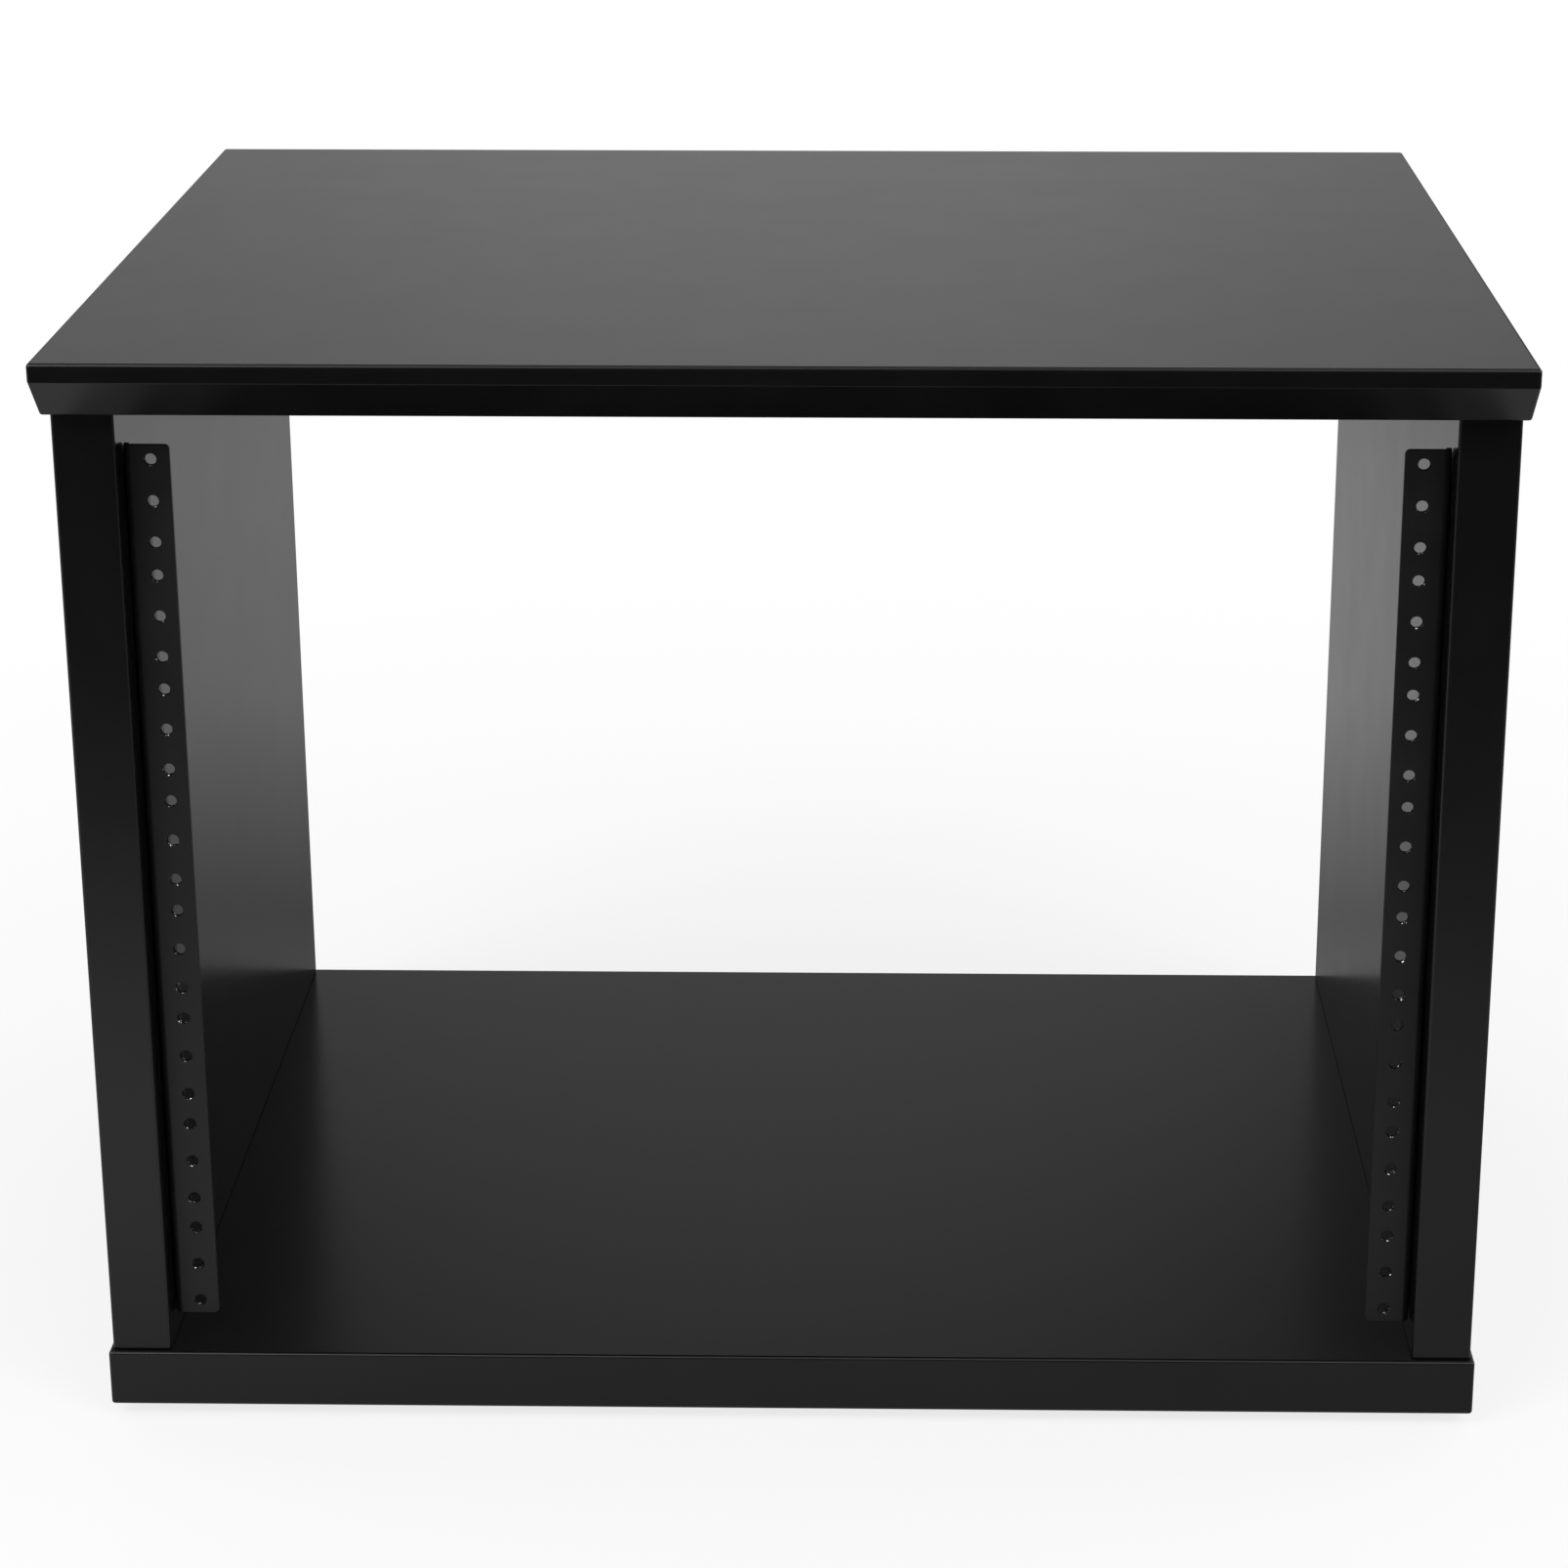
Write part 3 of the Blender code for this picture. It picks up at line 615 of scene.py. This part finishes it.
def leg_holes(side, sign, leg_inside):
    """Cutters for the screw holes in a rail's leg, whose inner face is at X of leg_inside."""
    profile = [
        (0, CUT_PAST),
        (RAIL_SCREW_HOLE, CUT_PAST),
        (RAIL_SCREW_HOLE, -CUT_PAST),
        (0, -CUT_PAST),
    ]
    cutters = []
    for i in rail_screws(side):
        low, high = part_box(f"{side}_rail_screw_{i}")
        centre = (low + high) / 2
        hole = turned("leg_hole", profile)
        move_mesh(hole, side_matrix(sign, leg_inside, centre.y, centre.z))
        cutters.append(hole)
    return cutters


def fine_rail(side, sign):
    """A rack rail: a folded sheet, with tapped holes in its flange and screw holes in its leg."""
    node = f"{side}_rack_rail"
    low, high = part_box(node)
    fold = low.x if sign < 0 else high.x
    free = high.x if sign < 0 else low.x
    rail = folded_sheet(f"{side}_rail_sheet", low, high, fold, free)
    hole_x = free + sign * FLANGE_PAST_HOLE
    plugs = bmesh.new()
    for z in hole_heights(low):
        threaded_plug(plugs, (hole_x, low.y, z), RAIL_SHEET)
    plug_piece = add_object("plugs", plugs)
    for piece in (rail, plug_piece):
        piece.data.materials.append(finishes["black_powder_coat"])
        piece.data.materials.append(tapped)
    subtract(rail, plug_piece, *leg_holes(side, sign, fold - sign * RAIL_SHEET))
    thread_faces = [face.material_index for face in rail.data.polygons]
    finished(rail, node)
    rail.data.materials.append(tapped)
    rail.data.polygons.foreach_set("material_index", thread_faces)
    flatten_shading(rail)


def cross_cutter(span, width, depth, top):
    """A cross recess whose four wings narrow towards its bottom."""
    wings = []
    for turn in range(2):
        bm = bmesh.new()
        bmesh.ops.create_cube(bm, size=1.0)
        for vert in bm.verts:
            bottom = vert.co.z < 0
            vert.co.x *= span * (DRIVE_BOTTOM_SPAN_SHARE if bottom else 1.0)
            vert.co.y *= width * (DRIVE_BOTTOM_WIDTH_SHARE if bottom else 1.0)
            vert.co.z = top - depth if bottom else top + DRIVE_MOUTH
        if turn:
            bmesh.ops.rotate(bm, cent=(0, 0, 0), matrix=Matrix.Rotation(math.pi / 2, 3, "Z"), verts=bm.verts)
        wings.append(add_object("wing", bm))
    return wings


def pan_screw(name, shank, length, head, head_height):
    """A pan head screw with a cross recess. Its shank goes down from the underside of its head at 0."""
    dome = head_height - SCREW_RIM
    turns = [math.pi / 2 * i / HEAD_STEPS for i in range(HEAD_STEPS + 1)]
    profile = [
        (0, head_height),
        *((head - dome * (1 - math.sin(a)), SCREW_RIM + dome * math.cos(a)) for a in turns),
        (head, RIM_ROUND),
        (head - RIM_ROUND, 0),
        (shank, 0),
        (shank, SCREW_POINT - length),
        (0, -length),
    ]
    screw = turned(name, profile)
    subtract(screw, *cross_cutter(DRIVE_SPAN, DRIVE_WIDTH, DRIVE_DEPTH, head_height))
    return screw


def fine_rail_screw(side, sign, i):
    """A pan head screw through the rail's leg, its head inside the rack."""
    node = f"{side}_rail_screw_{i}"
    low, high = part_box(node)
    centre = (low + high) / 2
    length = high.x - low.x - RAIL_SCREW_HEAD_HEIGHT
    screw = pan_screw(
        f"{side}_pan_screw_{i}", RAIL_SCREW_SHANK, length, (high.z - low.z) / 2, RAIL_SCREW_HEAD_HEIGHT
    )
    under_head = high.x - RAIL_SCREW_HEAD_HEIGHT if sign < 0 else low.x + RAIL_SCREW_HEAD_HEIGHT
    move_mesh(screw, side_matrix(sign, under_head, centre.y, centre.z))
    finished(screw, node)


def fine_foot(side, end):
    """A moulded foot with rounded rims, and the screw sunk in it."""
    node = f"{side}_{end}_foot"
    low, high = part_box(node)
    centre = (low + high) / 2
    top = (high.x - low.x) / 2
    screw_low, screw_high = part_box(f"{node}_screw")
    head = (screw_high.x - screw_low.x) / 2
    recess = head + FOOT_RECESS_ROOM
    hole = FOOT_SCREW_SHANK + BORE_ROOM
    bottom = top - FOOT_TAPER
    profile = [
        (hole, high.z),
        (top - FOOT_ROUND / 2, high.z),
        (top, high.z - FOOT_ROUND / 2),
        (top, high.z - FOOT_TAPER),
        *((bottom - FOOT_ROUND * (1 - math.cos(a)), FOOT_ROUND * (1 - math.sin(a)))
          for a in (math.pi / 2 * i / FOOT_STEPS for i in range(FOOT_STEPS + 1))),
        (recess + FOOT_ROUND / 2, 0),
        (recess, FOOT_ROUND / 2),
        (recess, FOOT_RECESS_DEPTH),
        (hole, FOOT_RECESS_DEPTH),
    ]
    foot = turned(f"{side}_{end}_rubber_foot", profile, closed=True)
    move_mesh(foot, Matrix.Translation((centre.x, centre.y, 0)))
    finished(foot, node)
    length = screw_high.z - screw_low.z - FOOT_SCREW_HEAD_HEIGHT
    screw = pan_screw(f"{side}_{end}_foot_pan_screw", FOOT_SCREW_SHANK, length, head, FOOT_SCREW_HEAD_HEIGHT)
    place = Matrix.Translation((centre.x, centre.y, screw_low.z + FOOT_SCREW_HEAD_HEIGHT))
    move_mesh(screw, place @ Matrix.Rotation(math.pi, 4, "X"))
    finished(screw, f"{node}_screw")


def fine_base_screw(side, end):
    """A connecting screw with a sunk head and a hexagon socket, head down."""
    node = f"{side}_{end}_base_screw"
    low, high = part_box(node)
    centre = (low + high) / 2
    head = (high.x - low.x) / 2
    length = high.z - low.z
    profile = [
        (0, 0),
        (head - RIM_ROUND, 0),
        (head, -RIM_ROUND),
        (BASE_SCREW_SHOULDER, BASE_SCREW_SHOULDER - head),
        (BASE_SCREW_SHOULDER, -BASE_SCREW_SHOULDER_LENGTH),
        (BASE_SCREW_THREAD, -BASE_SCREW_SHOULDER_LENGTH),
        (BASE_SCREW_THREAD, SCREW_POINT - length),
        (0, -length),
    ]
    screw = turned(f"{side}_{end}_connecting_screw", profile)
    socket = [
        (0, CUT_PAST),
        (BASE_SCREW_SOCKET, CUT_PAST),
        (BASE_SCREW_SOCKET, -BASE_SCREW_SOCKET_DEPTH),
        (0, -BASE_SCREW_SOCKET_DEPTH - BASE_SCREW_SOCKET / 2),
    ]
    subtract(screw, turned("socket", socket, SOCKET_SIDES))
    move_mesh(screw, Matrix.Translation((centre.x, centre.y, low.z)) @ Matrix.Rotation(math.pi, 4, "X"))
    finished(screw, node)


def fine_cam(side, sign, end):
    """A cam housing with a fine ring round its face and a cross recess to turn it by."""
    node = f"{side}_{end}_cam"
    low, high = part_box(node)
    centre = (low + high) / 2
    radius = (high.z - low.z) / 2
    depth = high.x - low.x
    ring = radius - CAM_RING_FROM_EDGE
    profile = [
        (0, 0),
        (ring - CAM_RING_HALF_WIDTH, 0),
        (ring, -CAM_RING_DEPTH),
        (ring + CAM_RING_HALF_WIDTH, 0),
        (radius - CAM_RIM, 0),
        (radius, -CAM_RIM),
        (radius, -depth),
        (0, -depth),
    ]
    cam = turned(f"{side}_{end}_cam_housing", profile)
    subtract(cam, *cross_cutter(CAM_DRIVE_SPAN, CAM_DRIVE_WIDTH, CAM_DRIVE_DEPTH, 0))
    face = high.x if sign < 0 else low.x
    move_mesh(cam, side_matrix(sign, face, centre.y, centre.z))
    finished(cam, node)


def carried_over():
    """Gives every CAD node its finish. Those that no fine piece replaces are seen with it."""
    for node, piece in frame["nodes"].items():
        finish = finishes[slot_of(node)]
        if piece.data.materials:
            for i in range(len(piece.data.materials)):
                piece.data.materials[i] = finish
        else:
            piece.data.materials.append(finish)


carried_over()
fine_top()
fine_base()
for side_name, side_sign in SIDES.items():
    fine_side(side_name, side_sign)
    fine_rail(side_name, side_sign)
    for number in rail_screws(side_name):
        fine_rail_screw(side_name, side_sign, number)
    for end_name in ENDS:
        fine_cam(side_name, side_sign, end_name)
        fine_foot(side_name, end_name)
    for end_name in BASE_SCREW_PLACES:
        fine_base_screw(side_name, end_name)

# Floor, light and world
FLOOR_REACH = 20.0
FLOOR_COLOUR = (0.95, 0.95, 0.95)
AMBIENT = 0.7

# Two softboxes of one size that aim at the same point, and each one's place and watts
SOFTBOX_SIZE = 1.0
SOFTBOX_TARGET = (0, 0, 0.25)
SOFTBOXES = {
    "left_softbox": ((-1.5, -1.5, 1.8), 18.0),
    "right_softbox": ((1.5, -1.5, 1.8), 16.0),
}

# The share of plain white that the camera sees on the floor, by the distance from the origin
FLOOR_WASH = [(0.3, 0.78), (1.0, 1.0)]

# What glossy surfaces mirror of the studio, from 0, black, to 1, white. The floor goes by the distance
# behind the origin, with painted shade under and close behind the object, painted light just before
# it, and dark further to the front
PAINTED_FLOOR_LIGHT_AND_SHADE = [
    (-4.0, 0.15), (-2.0, 0.0), (-1.0, 0.06), (-0.8, 0.34), (-0.6, 0.74), (-0.4, 0.84),
    (0.0, 0.34), (0.35, 0.19), (0.7, 0.45), (1.2, 0.48), (2.0, 0.36), (4.0, 0.5),
]

# The mirrored floor has painted light before the left side and behind the right one, and painted
# shade before the right side and behind the left one: a ramp by X behind the object, which turns over
# within CORNERS_TURN of the origin
PAINTED_CORNER_LIGHT_AND_SHADE = [(-0.35, 0.72), (0.35, 1.28)]
CORNERS_TURN = 0.3

# The backdrop goes by the degrees from its middle, a little above the horizon behind the object, and
# is narrower than it is high
BACKDROP_MIDDLE = (-0.035, 0.994, 0.105)
BACKDROP_NARROWED = 1.8
MIRRORED_BACKDROP = [
    (0, 0.59), (8, 0.59), (14, 0.51), (19, 0.47), (23, 0.52),
    (27, 0.02), (32, 0.0), (42, 0.35), (54, 0.8), (100, 0.8), (125, 0.2), (180, 0.1),
]

# Two strip lights in line along X give the upper edges their thin highlights: one ramp by the degrees
# above the front horizon, and one by how far a direction leans left or right
STRIP_HEIGHT = [(34, 0), (42, 1), (54, 1), (64, 0)]
STRIP_ACROSS = [(-0.17, 1.0), (-0.1, 0.3), (0.1, 0.2), (0.14, 0.7)]
STRIP_STRENGTH = 5.0

# The photograph's viewpoint, fitted to its corners
CAMERA_LENS = 86.95
CAMERA_SENSOR = 36.0
CAMERA_SHIFT = (-0.045, -0.09)
CAMERA_PLACE = (0.0459, -1.5, 0.7554)
CAMERA_PITCH = math.radians(-18.152)
CAMERA_YAW = math.radians(-0.894)


def grey_ramp(tree, value, stops):
    """Greys at the stops' values, and even blends between them."""
    low, high = stops[0][0], stops[-1][0]
    ramp = add_node(tree, "ShaderNodeValToRGB")
    elements = ramp.color_ramp.elements
    while len(elements) < len(stops):
        elements.new(0.5)
    for element, (stop, grey) in zip(elements, stops):
        element.position = (stop - low) / (high - low)
        element.color = (grey, grey, grey, 1)
    tree.links.new(spread(tree, value, 0.0, 1.0, low, high), ramp.inputs["Fac"])
    return ramp.outputs["Color"]


def mixed(tree, ray, others, these, share=None):
    """Shows one shader to a kind of ray, for a share of what it sees, and another one otherwise."""
    rays = add_node(tree, "ShaderNodeLightPath")
    part = add_node(tree, "ShaderNodeMath", operation="MULTIPLY")
    part.inputs[1].default_value = 1.0
    tree.links.new(rays.outputs[ray], part.inputs[0])
    if share is not None:
        tree.links.new(share, part.inputs[1])
    mix = add_node(tree, "ShaderNodeMixShader")
    tree.links.new(part.outputs["Value"], mix.inputs["Fac"])
    tree.links.new(others, mix.inputs[1])
    tree.links.new(these, mix.inputs[2])
    return mix.outputs["Shader"]


def add_floor():
    """A white floor, washed out to the camera but for a soft shadow round the object.

    Glossy surfaces see it instead as glowing greys, with painted shade under and close behind the object
    and painted light before it.
    """
    bm = bmesh.new()
    bmesh.ops.create_grid(bm, x_segments=1, y_segments=1, size=FLOOR_REACH)
    floor = add_object("floor", bm)
    material, tree, shader = node_tree("pale_floor")
    shader.inputs["Base Color"].default_value = (*FLOOR_COLOUR, 1)
    shader.inputs["Roughness"].default_value = 0.9
    shader.inputs["Specular IOR Level"].default_value = 0.0
    place = add_node(tree, "ShaderNodeTexCoord")
    parts = add_node(tree, "ShaderNodeSeparateXYZ")
    tree.links.new(place.outputs["Object"], parts.inputs["Vector"])
    # Glows to glossy rays only: greys with painted shade under and behind the object, painted light before
    # it
    mirrored = add_node(tree, "ShaderNodeEmission")
    corner = add_node(tree, "ShaderNodeMath", operation="MULTIPLY")
    tree.links.new(parts.outputs["X"], corner.inputs[0])
    turn = spread(tree, parts.outputs["Y"], -1.0, 1.0, -CORNERS_TURN, CORNERS_TURN)
    tree.links.new(turn, corner.inputs[1])
    tree.links.new(grey_ramp(tree, parts.outputs["Y"], PAINTED_FLOOR_LIGHT_AND_SHADE), mirrored.inputs["Color"])
    tree.links.new(grey_ramp(tree, corner.outputs["Value"], PAINTED_CORNER_LIGHT_AND_SHADE), mirrored.inputs["Strength"])
    lit = mixed(tree, "Is Glossy Ray", shader.outputs["BSDF"], mirrored.outputs["Emission"])
    white = add_node(tree, "ShaderNodeEmission")
    distance = add_node(tree, "ShaderNodeVectorMath", operation="LENGTH")
    tree.links.new(place.outputs["Object"], distance.inputs[0])
    wash = grey_ramp(tree, distance.outputs["Value"], FLOOR_WASH)
    seen = mixed(tree, "Is Camera Ray", lit, white.outputs["Emission"], wash)
    tree.links.new(seen, tree.nodes["Material Output"].inputs["Surface"])
    material.cycles.emission_sampling = "NONE"
    floor.data.materials.append(material)


def backdrop_angle(tree):
    """How far a direction is from the backdrop's middle, in degrees, where sideways counts for more."""
    narrowed = Vector((BACKDROP_NARROWED, 1, 1))
    direction = add_node(tree, "ShaderNodeTexCoord")
    stretch = add_node(tree, "ShaderNodeVectorMath", operation="MULTIPLY")
    stretch.inputs[1].default_value = narrowed
    tree.links.new(direction.outputs["Generated"], stretch.inputs[0])
    unit = add_node(tree, "ShaderNodeVectorMath", operation="NORMALIZE")
    tree.links.new(stretch.outputs["Vector"], unit.inputs[0])
    towards = add_node(tree, "ShaderNodeVectorMath", operation="DOT_PRODUCT")
    towards.inputs[1].default_value = (Vector(BACKDROP_MIDDLE) * narrowed).normalized()
    tree.links.new(unit.outputs["Vector"], towards.inputs[0])
    angle = add_node(tree, "ShaderNodeMath", operation="ARCCOSINE")
    tree.links.new(towards.outputs["Value"], angle.inputs[0])
    degrees = add_node(tree, "ShaderNodeMath", operation="DEGREES")
    tree.links.new(angle.outputs["Value"], degrees.inputs[0])
    return degrees.outputs["Value"]


def strip_lights(tree):
    """The grey of the two strip lights in a direction."""
    direction = add_node(tree, "ShaderNodeTexCoord")
    parts = add_node(tree, "ShaderNodeSeparateXYZ")
    tree.links.new(direction.outputs["Generated"], parts.inputs["Vector"])
    forward = add_node(tree, "ShaderNodeMath", operation="MULTIPLY")
    forward.inputs[1].default_value = -1.0
    tree.links.new(parts.outputs["Y"], forward.inputs[0])
    angle = add_node(tree, "ShaderNodeMath", operation="ARCTAN2")
    tree.links.new(parts.outputs["Z"], angle.inputs[0])
    tree.links.new(forward.outputs["Value"], angle.inputs[1])
    degrees = add_node(tree, "ShaderNodeMath", operation="DEGREES")
    tree.links.new(angle.outputs["Value"], degrees.inputs[0])
    both = add_node(tree, "ShaderNodeVectorMath", operation="MULTIPLY")
    tree.links.new(grey_ramp(tree, degrees.outputs["Value"], STRIP_HEIGHT), both.inputs[0])
    tree.links.new(grey_ramp(tree, parts.outputs["X"], STRIP_ACROSS), both.inputs[1])
    return both.outputs["Vector"]


def add_world():
    """White to the camera, an even light on everything, and the mirrored studio for glossy surfaces."""
    world = bpy.data.worlds.new("white_studio")
    bpy.context.scene.world = world
    world.use_nodes = True
    tree = world.node_tree
    tree.nodes.clear()
    backdrop, strip, even, white = (add_node(tree, "ShaderNodeBackground") for _ in range(4))
    tree.links.new(grey_ramp(tree, backdrop_angle(tree), MIRRORED_BACKDROP), backdrop.inputs["Color"])
    tree.links.new(strip_lights(tree), strip.inputs["Color"])
    strip.inputs["Strength"].default_value = STRIP_STRENGTH
    mirrored = add_node(tree, "ShaderNodeAddShader")
    tree.links.new(backdrop.outputs["Background"], mirrored.inputs[0])
    tree.links.new(strip.outputs["Background"], mirrored.inputs[1])
    even.inputs["Color"].default_value = (1, 1, 1, 1)
    even.inputs["Strength"].default_value = AMBIENT
    white.inputs["Color"].default_value = (1, 1, 1, 1)
    lit = mixed(tree, "Is Glossy Ray", even.outputs["Background"], mirrored.outputs["Shader"])
    seen = mixed(tree, "Is Camera Ray", lit, white.outputs["Background"])
    output = add_node(tree, "ShaderNodeOutputWorld")
    tree.links.new(seen, output.inputs["Surface"])
    world.cycles.sampling_method = "NONE"


def add_softbox(name, place, watts):
    data = bpy.data.lights.new(name, "AREA")
    data.shape = "SQUARE"
    data.size = SOFTBOX_SIZE
    data.energy = watts
    lamp = bpy.data.objects.new(name, data)
    lamp.location = place
    lamp.rotation_euler = (Vector(SOFTBOX_TARGET) - Vector(place)).to_track_quat("-Z", "Y").to_euler()
    bpy.context.scene.collection.objects.link(lamp)


def add_camera():
    """A camera at the photograph's viewpoint.

    The photograph's own picture plane is upright and shifted, so its uprights stay parallel. This one
    is tilted, and they converge a little.
    """
    data = bpy.data.cameras.new("camera")
    data.lens = CAMERA_LENS
    data.sensor_width = CAMERA_SENSOR
    data.shift_x, data.shift_y = CAMERA_SHIFT
    camera = bpy.data.objects.new("camera", data)
    camera.location = CAMERA_PLACE
    camera.rotation_euler = (math.pi / 2 + CAMERA_PITCH, 0, -CAMERA_YAW)
    bpy.context.scene.collection.objects.link(camera)
    bpy.context.scene.camera = camera


add_floor()
add_world()
for lamp_name, (lamp_place, lamp_watts) in SOFTBOXES.items():
    add_softbox(lamp_name, lamp_place, lamp_watts)
add_camera()
bpy.context.scene.view_settings.view_transform = "Standard"
